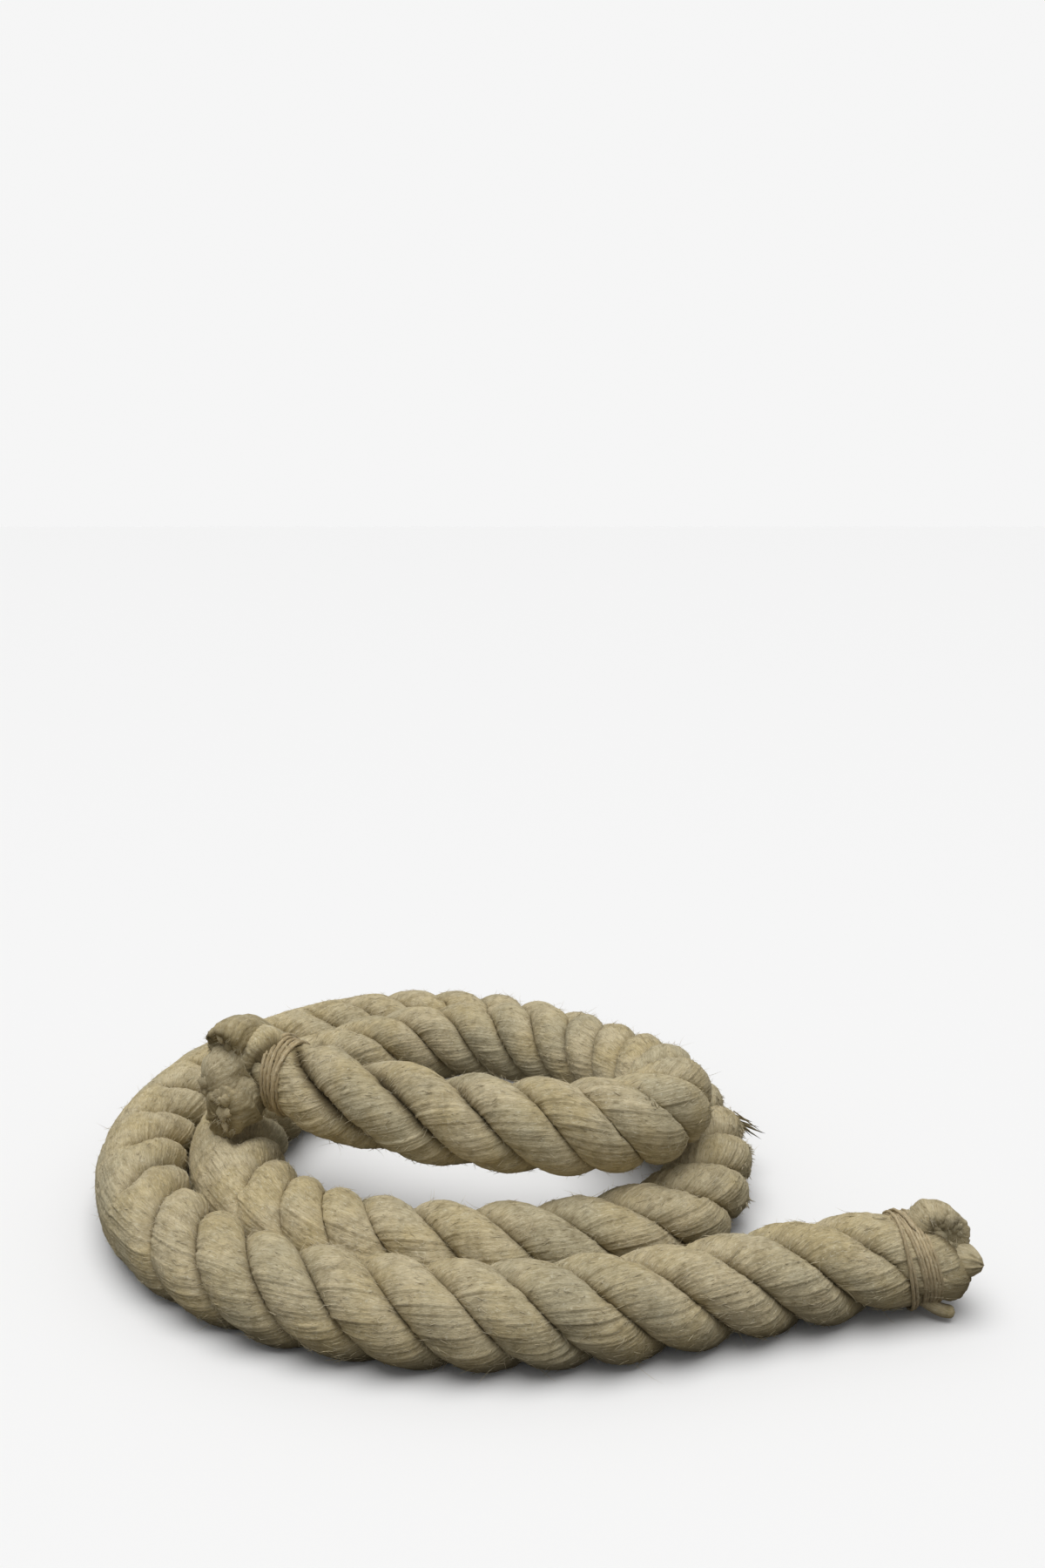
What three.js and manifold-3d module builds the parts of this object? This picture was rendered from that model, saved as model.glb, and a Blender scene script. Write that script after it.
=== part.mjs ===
// A length of thick three-strand natural-fibre rope lying in two loose turns.
// The rope starts at its upper end, runs across the coil on top of the other turns, doubles
// back, drops to the floor and lies in a full turn and a half round itself, and its other end
// points away from the coil. Both ends are whipped with thin twine, and past the twine the
// three strands stand apart as blunt stubs.
// Millimetres, +Z up, the floor at z = 0, the origin under the middle of the whole coil.

import * as THREE from 'three';
import { mergeVertices } from 'three/addons/utils/BufferGeometryUtils.js';
import Module from 'manifold-3d';

// Driving dimensions
const ROPE_DIAMETER = 40; // over the crests of the strands
const SOLID_RADIUS = 0.49 * ROPE_DIAMETER; // the strands' crests and grooves averaged a little
const SOLID_SIDES = 12;
const SOLID_STEPS = 88;
const LIE = 18.5; // height of the rope's centre where it lies on the floor, pressed a little flat
const STRAND_RADIUS = 0.23 * ROPE_DIAMETER;
const GAP = 0.3; // between the rope and each band of twine

// The rope's centre line, from the upper end to the lower end. A point without a height lies
// on the floor.
const ROUTE = [
  // the upper end and the run across the coil
  [-107, -19, 64], [-84, -33, 61], [-56, -46, 60], [-26, -56, 59], [4, -63, 60], [30, -65, 60],
  // doubling back over the outer turn
  [48, -62, 60], [61, -54, 59], [68, -39, 58], [68, -20, 55], [60, 3, 50],
  // sinking to the floor inside the outer turn
  [37, 45, 42], [9, 73, 36], [-21, 89, 31], [-53, 93, 27], [-82, 83, 24], [-104, 64, 22], [-121, 36, 20],
  // the inner turn on the floor
  [-128, 5], [-124, -28], [-110, -55], [-87, -76], [-58, -88], [-30, -93], [-1, -94], [26, -90],
  [52, -80], [75, -61], [88, -29],
  // the outer turn, under the doubled rope and round the back
  [88, 11], [75, 52], [50, 89], [16, 118], [-21, 134], [-60, 137], [-97, 125], [-131, 97], [-158, 56],
  [-170, 12], [-168, -28], [-155, -64], [-133, -92], [-104, -113], [-70, -127], [-35, -134],
  // leaving the coil to the lower end, which stands a little higher where its strands are loose
  [1, -135], [40, -131], [82, -119], [124, -107, 19], [150, -102, 20], [168, -99, 21],
];

// Each end: the stretch from the tip of the centre line that the twine binds, the radius it is
// drawn in to, the width and thickness of the band, and where the three strand stubs reach.
const UPPER_END = {
  length: 14, radius: 16, bandWidth: 12, bandThickness: 1.5,
  strandTips: [[-126, -31, 48], [-132, -13, 64], [-124, 0, 77]],
};
const LOWER_END = {
  length: 17, radius: 18, bandWidth: 13, bandThickness: 1.5,
  strandTips: [[180, -92, 32], [187, -101, 20], [181, -108, 11]],
};

const wasm = await Module();
wasm.setup();

const routeCurve = new THREE.CatmullRomCurve3(
  ROUTE.map(([x, y, z = LIE]) => new THREE.Vector3(x, y, z)), false, 'centripetal');
routeCurve.arcLengthDivisions = 2000;
const ROUTE_LENGTH = routeCurve.getLength();

// The part of the centre line between two distances along it.
class Stretch extends THREE.Curve {
  constructor(from, to) {
    super();
    this.from = from / ROUTE_LENGTH;
    this.to = to / ROUTE_LENGTH;
    this.arcLengthDivisions = 1000;
  }

  getPoint(t, target = new THREE.Vector3()) {
    return routeCurve.getPointAt(THREE.MathUtils.lerp(this.from, this.to, t), target);
  }
}

// A closed geometry as a solid that can be joined and cut.
function toSolid(geometry) {
  const bare = geometry.index ? geometry.toNonIndexed() : geometry.clone();
  bare.deleteAttribute('normal');
  bare.deleteAttribute('uv');
  const merged = mergeVertices(bare, 1e-3);
  return new wasm.Manifold(new wasm.Mesh({
    numProp: 3,
    vertProperties: new Float32Array(merged.attributes.position.array),
    triVerts: new Uint32Array(merged.index.array),
  }));
}

function toGeometry(solid) {
  const { vertProperties, triVerts } = solid.getMesh();
  const geometry = new THREE.BufferGeometry();
  geometry.setAttribute('position', new THREE.BufferAttribute(vertProperties, 3));
  geometry.setIndex(new THREE.BufferAttribute(triVerts, 1));
  geometry.computeVertexNormals();
  return geometry;
}

// Turns a shape made round +Y so that +Y points along a direction, and moves it to a place.
function aim(geometry, place, direction) {
  const turn = new THREE.Quaternion().setFromUnitVectors(new THREE.Vector3(0, 1, 0), direction);
  return geometry.applyQuaternion(turn).translate(place.x, place.y, place.z);
}

// The tip of the centre line at one end of the rope, and the direction that points out of it.
function tipOf(atStart) {
  const t = atStart ? 0 : 1;
  const out = routeCurve.getTangentAt(t).multiplyScalar(atStart ? -1 : 1);
  return { tip: routeCurve.getPointAt(t), out };
}

// The full-thickness rope between its two bound ends.
function ropeBody() {
  const section = new THREE.Shape();
  for (let i = 0; i < SOLID_SIDES; i++) {
    const angle = (2 * Math.PI * i) / SOLID_SIDES;
    const x = SOLID_RADIUS * Math.cos(angle);
    const y = SOLID_RADIUS * Math.sin(angle);
    if (i === 0) section.moveTo(x, y);
    else section.lineTo(x, y);
  }
  section.closePath();
  const path = new Stretch(UPPER_END.length, ROUTE_LENGTH - LOWER_END.length);
  return new THREE.ExtrudeGeometry(section, { steps: SOLID_STEPS, bevelEnabled: false, extrudePath: path });
}

// The round stretch that the twine draws in, reaching a little way into the rope's body.
function boundNeck(end, atStart) {
  const { tip, out } = tipOf(atStart);
  const inside = 6;
  const neck = new THREE.CylinderGeometry(end.radius, end.radius, end.length + inside, SOLID_SIDES * 2);
  neck.translate(0, -(end.length + inside) / 2, 0);
  return aim(neck, tip, out);
}

// The round root just past the twine that the three stubs grow out of.
function stubRoot(end, atStart) {
  const { tip } = tipOf(atStart);
  return new THREE.SphereGeometry(end.radius - 2, SOLID_SIDES, SOLID_SIDES).translate(tip.x, tip.y, tip.z);
}

// One strand's blunt stub, from that root to its tip.
function strandStub(end, atStart, reach) {
  const { tip, out } = tipOf(atStart);
  const goal = new THREE.Vector3(...reach);
  const sideways = goal.clone().sub(tip).projectOnPlane(out);
  const spread = Math.min(sideways.length(), end.radius - STRAND_RADIUS - 1);
  const pastTwine = 3;
  const root = tip.clone().add(sideways.setLength(spread)).addScaledVector(out, pastTwine);
  const along = goal.clone().sub(root);
  const length = along.length();
  const rim = 0.3 * STRAND_RADIUS;
  const profile = [
    [0, 0], [STRAND_RADIUS, 0], [STRAND_RADIUS, length - rim], [STRAND_RADIUS - rim, length], [0, length],
  ].map(([x, y]) => new THREE.Vector2(x, y));
  return aim(new THREE.LatheGeometry(profile, SOLID_SIDES), root, along.normalize());
}

// Everything below the floor, which the rope's underside is pressed flat against.
function underFloor() {
  const depth = 40;
  return new THREE.BoxGeometry(600, 600, depth).translate(0, 0, -depth / 2);
}

function ropeGeometry() {
  let solid = toSolid(ropeBody());
  for (const [end, atStart] of [[UPPER_END, true], [LOWER_END, false]]) {
    solid = solid.add(toSolid(boundNeck(end, atStart))).add(toSolid(stubRoot(end, atStart)));
    for (const reach of end.strandTips) {
      solid = solid.add(toSolid(strandStub(end, atStart, reach)));
    }
    solid = solid.subtract(toSolid(bandSeat(end, atStart)));
  }
  return toGeometry(solid.subtract(toSolid(underFloor())));
}

// A ring round the middle of a bound neck, with its outer edges rounded off.
function ring(end, atStart, inner, outer, width) {
  const { tip, out } = tipOf(atStart);
  const edge = 0.5 * end.bandThickness;
  const half = width / 2;
  const profile = [
    [inner, -half], [outer - edge, -half], [outer, -half + edge], [outer, half - edge],
    [outer - edge, half], [inner, half], [inner, -half],
  ].map(([x, y]) => new THREE.Vector2(x, y));
  const middle = tip.clone().addScaledVector(out, -end.length / 2);
  return aim(new THREE.LatheGeometry(profile, 2 * SOLID_SIDES), middle, out);
}

// The band of twine turns.
function whippingGeometry(end, atStart) {
  const inner = end.radius + GAP;
  return ring(end, atStart, inner, inner + end.bandThickness, end.bandWidth);
}

// The room that the band needs in the rope, where a stub folds back over the neck.
function bandSeat(end, atStart) {
  const outer = end.radius + end.bandThickness + 2 * GAP;
  return ring(end, atStart, end.radius, outer, end.bandWidth + 2 * GAP);
}

function piece(name, geometry, color, roughness) {
  const mesh = new THREE.Mesh(geometry, new THREE.MeshStandardMaterial({ color, roughness, metalness: 0 }));
  mesh.name = name;
  return mesh;
}

const coil = new THREE.Group();
coil.add(
  piece('rope', ropeGeometry(), 0xa89b7a, 0.9),
  piece('whipping_upper', whippingGeometry(UPPER_END, true), 0x93846a, 0.85),
  piece('whipping_lower', whippingGeometry(LOWER_END, false), 0x86775a, 0.85),
);

export default coil;
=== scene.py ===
# A length of thick three-strand rope lying in a loose coil: its strands and their yarns, the
# twine round its two ends, the frayed ends and the loose fibres. Metres, +Z up, the floor at z = 0.
import math

import bmesh
import bpy
import numpy as np
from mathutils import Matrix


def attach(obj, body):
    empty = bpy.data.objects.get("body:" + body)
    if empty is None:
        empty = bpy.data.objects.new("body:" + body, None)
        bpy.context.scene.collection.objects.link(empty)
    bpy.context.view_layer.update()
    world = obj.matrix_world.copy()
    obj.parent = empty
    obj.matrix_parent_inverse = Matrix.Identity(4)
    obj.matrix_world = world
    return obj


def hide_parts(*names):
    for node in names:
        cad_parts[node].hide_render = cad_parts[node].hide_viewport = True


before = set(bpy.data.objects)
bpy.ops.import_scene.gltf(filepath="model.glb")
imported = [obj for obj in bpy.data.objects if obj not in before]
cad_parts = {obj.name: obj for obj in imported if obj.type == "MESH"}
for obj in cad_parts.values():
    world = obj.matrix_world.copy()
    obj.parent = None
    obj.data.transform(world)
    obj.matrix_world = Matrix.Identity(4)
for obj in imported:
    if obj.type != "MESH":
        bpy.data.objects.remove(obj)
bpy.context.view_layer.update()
scene = bpy.context.scene


# ---- Camera ----------------------------------------
# It stands low in front of the coil and looks a little down on it, so that the near side of the
# coil, the run across its middle and both ends show.
CAMERA_PLACE = (0.004, -0.602, 0.3356)
CAMERA_DOWN = math.radians(13.37)

camera_data = bpy.data.cameras.new("camera")
camera_data.lens = 32
camera_data.sensor_width = 36
camera = bpy.data.objects.new("camera", camera_data)
camera.location = CAMERA_PLACE
camera.rotation_euler = (math.pi / 2 - CAMERA_DOWN, 0, 0)
scene.collection.objects.link(camera)
scene.camera = camera


# ---- The way that the rope lies --------------------
# One length of stiff rope. From its upper bound end it runs across the coil, doubles back over
# the outer turn, sinks to the floor inside it, lies in a turn and a half on the floor, and leaves
# the coil to its lower bound end.
LIE = 0.0185  # height of the centre line where the rope lies on the floor
ROUTE = [
    # the upper end and the run across the coil
    (-0.107, -0.019, 0.064), (-0.084, -0.033, 0.061), (-0.056, -0.046, 0.060),
    (-0.026, -0.056, 0.059), (0.004, -0.063, 0.060), (0.030, -0.065, 0.060),
    # doubling back over the outer turn
    (0.048, -0.062, 0.060), (0.061, -0.054, 0.059), (0.068, -0.039, 0.058),
    (0.068, -0.020, 0.055), (0.060, 0.003, 0.050),
    # sinking to the floor inside the outer turn
    (0.037, 0.045, 0.042), (0.009, 0.073, 0.036), (-0.021, 0.089, 0.031), (-0.053, 0.093, 0.027),
    (-0.082, 0.083, 0.024), (-0.104, 0.064, 0.022), (-0.121, 0.036, 0.020),
    # the inner turn on the floor
    (-0.128, 0.005, LIE), (-0.124, -0.028, LIE), (-0.110, -0.055, LIE), (-0.087, -0.076, LIE),
    (-0.058, -0.088, LIE), (-0.030, -0.093, LIE), (-0.001, -0.094, LIE), (0.026, -0.090, LIE),
    (0.052, -0.080, LIE), (0.075, -0.061, LIE), (0.088, -0.029, LIE),
    # the outer turn, under the doubled rope and round the back
    (0.088, 0.011, LIE), (0.075, 0.052, LIE), (0.050, 0.089, LIE), (0.016, 0.118, LIE),
    (-0.021, 0.134, LIE), (-0.060, 0.137, LIE), (-0.097, 0.125, LIE), (-0.131, 0.097, LIE),
    (-0.158, 0.056, LIE), (-0.170, 0.012, LIE), (-0.168, -0.028, LIE), (-0.155, -0.064, LIE),
    (-0.133, -0.092, LIE), (-0.104, -0.113, LIE), (-0.070, -0.127, LIE), (-0.035, -0.134, LIE),
    # leaving the coil to the lower end, which stands a little higher where its strands are loose
    (0.001, -0.135, LIE), (0.040, -0.131, LIE), (0.082, -0.119, LIE), (0.124, -0.107, 0.019),
    (0.150, -0.102, 0.020), (0.168, -0.099, 0.021),
]
STEP = 0.001  # between the points that the centre line is worked out at
EVENING = 0.006  # length over which the stiff rope evens out the route's turns
PRESSED_UNDER = 0.001  # height under which the rope is pressed against the floor
PRESSED_PART = 0.0008 / 0.0026  # part of the depth under that which is left
LOWEST = 0.0001


def smooth_through(points, per_span=40):
    """A smooth curve through the points, as a close row of points."""
    row = np.vstack([2 * points[0] - points[1], points, 2 * points[-1] - points[-2]])
    t = np.linspace(0, 1, per_span, endpoint=False)[:, None]
    spans = []
    for p0, p1, p2, p3 in zip(row, row[1:], row[2:], row[3:]):
        d0, d1, d2 = (math.sqrt(np.linalg.norm(b - a)) for a, b in ((p0, p1), (p1, p2), (p2, p3)))
        leave = ((p1 - p0) / d0 - (p2 - p0) / (d0 + d1) + (p2 - p1) / d1) * d1
        arrive = ((p2 - p1) / d1 - (p3 - p1) / (d1 + d2) + (p3 - p2) / d2) * d1
        bow = 3 * (p2 - p1) - 2 * leave - arrive
        spans.append(p1 + leave * t + bow * t**2 + (2 * (p1 - p2) + leave + arrive) * t**3)
    return np.vstack(spans + [points[-1:]])


def evenly(points, count):
    """The same row of points with even distances between them, and its whole length."""
    along = np.r_[0, np.cumsum(np.linalg.norm(np.diff(points, axis=0), axis=1))]
    places = np.linspace(0, along[-1], count)
    return np.stack([np.interp(places, along, points[:, k]) for k in range(3)], 1), along[-1]


def evened(values, spread):
    """Values along the rope averaged over a spread of steps, their two ends kept."""
    pad = int(4 * spread)
    weights = np.exp(-0.5 * (np.arange(-pad, pad + 1) / spread) ** 2)
    before = 2 * values[0] - values[pad:0:-1]
    after = 2 * values[-1] - values[-2:-pad - 2:-1]
    return np.convolve(np.r_[before, values, after], weights / weights.sum(), "valid")


def unit(vectors):
    """The same directions with a length of 1."""
    return vectors / np.linalg.norm(vectors, axis=-1, keepdims=True)


route_line = smooth_through(np.array(ROUTE))
_, route_length = evenly(route_line, 2)
line, _ = evenly(route_line, int(route_length / STEP))
line = np.stack([evened(line[:, k], EVENING / STEP) for k in range(3)], 1)
line, ROPE_LENGTH = evenly(line, len(line))
line_x = np.linspace(0, ROPE_LENGTH, len(line))
line_along = unit(np.gradient(line, axis=0))

# Two directions across the rope that follow its bends without turning round it.
line_side = np.zeros_like(line)
line_side[0] = unit((0, 0, 1) - line_along[0] * line_along[0, 2])
for i in range(len(line) - 1):
    step = line[i + 1] - line[i]
    mirror = 2 / (step @ step)
    side = line_side[i] - mirror * (step @ line_side[i]) * step
    ahead = line_along[i] - mirror * (step @ line_along[i]) * step
    step = line_along[i + 1] - ahead
    line_side[i + 1] = side - 2 * (step @ side) / max(step @ step, 1e-18) * step
line_up = np.cross(line_along, line_side)


def bend(x, y, z):
    """Places points of the rope as if it were straight, x along it, where they lie in the coil."""
    on_rope = np.clip(x, 0, ROPE_LENGTH)
    centre, along, side, up = (
        np.stack([np.interp(on_rope, line_x, rows[:, k]) for k in range(3)], -1)
        for rows in (line, line_along, line_side, line_up)
    )
    place = centre + (x - on_rope)[..., None] * along + y[..., None] * side + z[..., None] * up
    # what would reach into the floor is pressed flat against it
    height = place[..., 2]
    pressed = PRESSED_UNDER + (height - PRESSED_UNDER) * PRESSED_PART
    place[..., 2] = np.where(height < PRESSED_UNDER, np.maximum(pressed, LOWEST), height)
    return place


# ---- Strands ---------------------------------------
# Three strands of pale bast-fibre yarn, laid together to the right. Each strand is about thirty
# soft yarns round a core, twisted the other way, so that on the crests the yarns run straight
# along the rope. Handling has made the lay a little longer or shorter from place to place.
DIAMETER = 0.040
STRANDS = 3
STRAND_RADIUS = 0.0094
STRAND_UNEVEN = 0.030  # part of its radius by which a strand's thickness varies
STRAND_OFFSET = DIAMETER / 2 - STRAND_RADIUS
LAY = 0.080  # rope length in which a strand goes round once
# how far the strands are turned on or back from an even lay: place along the rope, degrees
LAY_DRIFT = [
    (0, 150), (0.018, 122), (0.045, 76), (0.058, 48), (0.072, 28), (0.086, 9), (0.114, -7),
    (0.141, -6), (0.175, 57), (0.225, 112), (0.590, 171), (0.611, 197), (0.651, 261),
    (0.732, 248), (0.955, 267), (1.100, 325), (1.477, 305), (1.535, 315), (1.600, 304),
    (1.653, 291), (1.690, 285),
]
YARNS = 28
ROWS_PER_YARN = 3
YARN_HEIGHT = 0.00026
YARN_PROUD = 0.00022  # by which whole yarns stand higher or lie deeper
YARN_LOOSE = 0.0005  # and by which the loose ones stand out
YARN_LUMPS = 0.0004  # height of the soft lumps in groups of yarns
YARN_TWIST = 2.79 * math.tau / LAY  # radians that a yarn turns round its strand, per metre of rope
YARN_RUN = 2.295  # length of yarn on the crest for each length of rope
YARN_WIDTH = 0.0016
FLAT_CREST = 0.08  # part of the depth beside a strand's crest that wear has taken away
FLAT_OUTSIDE = 0.08  # and what the outside of a sharp bend adds to that
FLAT_GROOVE = 0.02  # part of a groove's depth that the soft strands fill
FLAT_BOUND = 0.78  # and the part that they fill where the twine draws them together
FLAT_SMOOTH = 0.965  # and on the smooth stretches
# Where the rope was bent hard its outside is smooth, and grooves show only on the inside of the
# bend: place along the rope, how far the smooth side reaches, from 1 at the bend's outside to -1,
# and the part of the radius by which it swells
SMOOTH_SIDE = [
    (0.40, 1.4, 0), (0.48, 0.05, 0.12), (0.555, 0.10, 0.12), (0.60, 0.85, 0.03), (0.64, 1.4, 0),
    (1.07, 1.4, 0), (1.14, -0.30, 0), (1.20, 0.0, 0.01), (1.29, 0.10, 0.01), (1.35, 0.75, 0),
    (1.41, 1.4, 0),
]
SMOOTH_EDGE = 0.28  # half of the reach in which the smooth side passes into the grooved one
SMOOTH_OVERLAP = 0.0012  # by which the strands run into one another where the rope is smooth
SMOOTH_TUCK = 0.0006  # by which their edges dip under there
SHARP_BEND = 0.22  # stretch of the outside, as a part of its length, where a bend is sharp
CREST_EDGE = (math.radians(60), math.radians(95))  # angles round a strand where its crest ends
CONTACT = -0.00005  # between two strands and the plane where they press each other flat
MEETING = math.radians(138)  # angle round a strand, from its crest, at which it meets the next one
MEETING_MORE = 0.01  # room on either side of that angle
UPPER_BOUND = 0.014  # length of rope that the twine binds
LOWER_BOUND = 0.017
UPPER_DRAWN = 0.80  # how far the twine draws the rope in
LOWER_DRAWN = 0.90
EASE = 0.015  # length in which the rope comes back to its full thickness
STRAND_CAP = 0.003  # length of the rounded end of a strand, inside its frayed end
LAY_EVENING = 0.010  # length over which the lay and the smooth side change
BEND_EVENING = 0.008  # and the bend

drift_x, drift = zip(*LAY_DRIFT)
line_turn = math.tau * line_x / LAY + np.radians(np.interp(line_x, drift_x, drift))
line_turn = evened(line_turn, LAY_EVENING / STEP)
line_turn_rate = np.gradient(line_turn, line_x)
line_bend = np.gradient(line_along, line_x, axis=0)
line_bend_side = evened((line_bend * line_side).sum(1), BEND_EVENING / STEP)
line_bend_up = evened((line_bend * line_up).sum(1), BEND_EVENING / STEP)
smooth_x, smooth_reach, smooth_swell = zip(*SMOOTH_SIDE)
line_smooth = evened(np.interp(line_x, smooth_x, smooth_reach), LAY_EVENING / STEP)


KNOTS = 4096
ROW_APART = 389  # knots from one row's values to the next row's
BEFORE_START = 64  # knots kept for what lies before the rope's start


def wander(x, length, seed, row=0):
    """Smooth random values from -1 to 1 that change over a length; each row has its own."""
    knots = np.random.default_rng(seed).uniform(-1, 1, KNOTS)
    place = x / length + BEFORE_START
    first = np.floor(place).astype(int)
    part = place - first
    part = part * part * (3 - 2 * part)
    lane = first + ROW_APART * np.asarray(row)
    return knots[lane % KNOTS] * (1 - part) + knots[(lane + 1) % KNOTS] * part


def ramp(values, low, high):
    """0 below low and 1 above high, with an even slope between them that starts and ends softly."""
    part = np.clip((values - low) / (high - low), 0, 1)
    return part * part * (3 - 2 * part)


def drawn(x):
    """How much the rope is drawn in at x by the twine."""
    upper = UPPER_DRAWN + (1 - UPPER_DRAWN) * ramp(x, UPPER_BOUND, UPPER_BOUND + EASE)
    from_end = ROPE_LENGTH - x
    lower = LOWER_DRAWN + (1 - LOWER_DRAWN) * ramp(from_end, LOWER_BOUND, LOWER_BOUND + EASE)
    return np.minimum(upper, lower)


def bound(x):
    """1 where the twine holds the strands together, and 0 away from it."""
    nearest = np.minimum(x - UPPER_BOUND, ROPE_LENGTH - LOWER_BOUND - x)
    return 1 - ramp(nearest, -0.002, EASE)


def smoothness(x, angle):
    """How smooth the rope is at an angle round it, from 0 to 1, where it was bent hard."""
    bend_side, bend_up = (np.interp(x, line_x, row) for row in (line_bend_side, line_bend_up))
    outside = -(bend_side * np.cos(angle) + bend_up * np.sin(angle)) / np.hypot(bend_side, bend_up)
    edge = np.interp(x, line_x, line_smooth)
    return ramp(outside, edge - SMOOTH_EDGE, edge + SMOOTH_EDGE)


def strand_point(strand, x, around, lift=0.0):
    """A point on a strand, at an angle round it that is counted from its outermost line."""
    size = drawn(x)
    offset = size * STRAND_OFFSET
    radius = size * STRAND_RADIUS * (1 + STRAND_UNEVEN * wander(x, 0.020, 5, strand)) + lift
    turn = np.interp(x, line_x, line_turn) + math.tau * strand / STRANDS
    slope = np.arctan(offset * np.interp(x, line_x, line_turn_rate))
    outward = offset + radius * np.cos(around)
    sideways = radius * np.sin(around) * np.cos(slope)
    x = x - radius * np.sin(around) * np.sin(slope)
    # the strands press each other flat along the planes half-way between them
    half_share = math.pi / STRANDS
    here = np.interp(x, line_x, line_turn) + math.tau * strand / STRANDS
    angle = (np.arctan2(sideways, outward) + turn - here + math.pi) % math.tau - math.pi
    reach = np.hypot(outward, sideways)
    smooth = smoothness(x, here + angle)
    filled = 1 - (1 - FLAT_BOUND * bound(x)) * (1 - FLAT_SMOOTH * smooth)
    to_plane = reach * np.sin(half_share - abs(angle))
    to_plane = np.maximum(to_plane, CONTACT - SMOOTH_OVERLAP * filled)
    up_plane = reach * np.cos(half_share - abs(angle))
    angle = here + np.sign(angle) * (half_share - np.arctan2(to_plane, up_plane))
    reach = np.hypot(to_plane, up_plane)
    # the crests are worn a little flat, and stretched flatter on the outside of a bend
    outside = -size * DIAMETER / 2 * (np.interp(x, line_x, line_bend_side) * np.cos(angle)
                                      + np.interp(x, line_x, line_bend_up) * np.sin(angle))
    crest = FLAT_CREST + FLAT_OUTSIDE * ramp(outside, 0.0, SHARP_BEND)
    crest = crest * (1 - ramp(abs(around), *CREST_EDGE))
    groove = 1 - (1 - FLAT_GROOVE) * (1 - filled)
    fill = 1 - (1 - crest) * (1 - groove * (abs(around) < MEETING + MEETING_MORE))
    full = size * DIAMETER / 2 * (1 + np.interp(x, smooth_x, smooth_swell) * smooth) + lift
    full = full - SMOOTH_TUCK * filled * (abs(around) > MEETING - MEETING_MORE)
    reach = reach + fill * (full - reach)
    return bend(x, reach * np.cos(angle), reach * np.sin(angle))


def grid_mesh(name, rows, columns):
    """A sheet of faces, and the row and the column that each of its points belongs to."""
    sheet = bmesh.new()
    bmesh.ops.create_grid(sheet, x_segments=rows - 1, y_segments=columns - 1, size=1)
    mesh = bpy.data.meshes.new(name)
    sheet.to_mesh(mesh)
    sheet.free()
    places = np.empty(3 * len(mesh.vertices), np.float32)
    mesh.vertices.foreach_get("co", places)
    places = places.reshape(-1, 3).astype(float)
    row = np.rint((places[:, 0] + 1) / 2 * (rows - 1)).astype(int)
    column = np.rint((places[:, 1] + 1) / 2 * (columns - 1)).astype(int)
    return mesh, row, column


def give_looks(mesh, material, point_values, uv):
    """Sets a mesh's material, smooth shading, point attributes and yarn coordinates."""
    mesh.materials.append(material)
    mesh.polygons.foreach_set("use_smooth", np.ones(len(mesh.polygons), bool))
    for name, values in point_values.items():
        layer = mesh.attributes.new(name, "FLOAT", "POINT")
        layer.data.foreach_set("value", np.ascontiguousarray(values, np.float32).ravel())
    corners = np.empty(len(mesh.loops), np.int32)
    mesh.loops.foreach_get("vertex_index", corners)
    layer = mesh.uv_layers.new(name="yarn")
    layer.data.foreach_set("uv", np.ascontiguousarray(uv[corners], np.float32).ravel())


def close_up(mesh, distance=1e-7):
    """Joins the seams and poles of a mesh and turns its faces outwards."""
    work = bmesh.new()
    work.from_mesh(mesh)
    bmesh.ops.remove_doubles(work, verts=work.verts, dist=distance)
    bmesh.ops.recalc_face_normals(work, faces=work.faces)
    work.to_mesh(mesh)
    work.free()


def add_piece(name, mesh):
    piece = bpy.data.objects.new(name, mesh)
    scene.collection.objects.link(piece)
    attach(piece, "root")
    return piece


def colour(red, green, blue):
    """A colour given in screen values from 0 to 1, as the linear one that shaders take."""
    return tuple(v / 12.92 if v <= 0.04045 else ((v + 0.055) / 1.055) ** 2.4
                 for v in (red, green, blue)) + (1.0,)


class Nodes:
    """Short ways to add the nodes that the fibre materials share."""

    def __init__(self, name):
        self.material = bpy.data.materials.new(name)
        self.material.use_nodes = True
        self.tree = self.material.node_tree
        self.shader = self.tree.nodes["Principled BSDF"]

    def add(self, kind, inputs=(), **settings):
        node = self.tree.nodes.new(kind)
        for key, value in settings.items():
            setattr(node, key, value)
        for key, value in dict(inputs).items():
            if isinstance(value, bpy.types.NodeSocket):
                self.tree.links.new(value, node.inputs[key])
            else:
                node.inputs[key].default_value = value
        return node

    def noise(self, vector, stretch, detail=3.0, roughness=0.6):
        """Noise from 0 to 1, with a scale for each axis."""
        place = self.add("ShaderNodeMapping", {"Vector": vector, "Scale": stretch})
        node = self.add("ShaderNodeTexNoise", {
            "Vector": place.outputs["Vector"], "Scale": 1.0, "Detail": detail, "Roughness": roughness})
        return node.outputs["Fac"]

    def range(self, value, low, high, to_low=0.0, to_high=1.0):
        node = self.add("ShaderNodeMapRange", {
            "Value": value, "From Min": low, "From Max": high, "To Min": to_low, "To Max": to_high})
        return node.outputs["Result"]

    def mix(self, factor, first, second):
        node = self.add("ShaderNodeMix", {0: factor, 6: first, 7: second}, data_type="RGBA")
        return node.outputs[2]

    def math(self, operation, first, second):
        return self.add("ShaderNodeMath", {0: first, 1: second}, operation=operation).outputs[0]

    def attribute(self, name):
        return self.add("ShaderNodeAttribute", attribute_name=name).outputs["Fac"]


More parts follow.
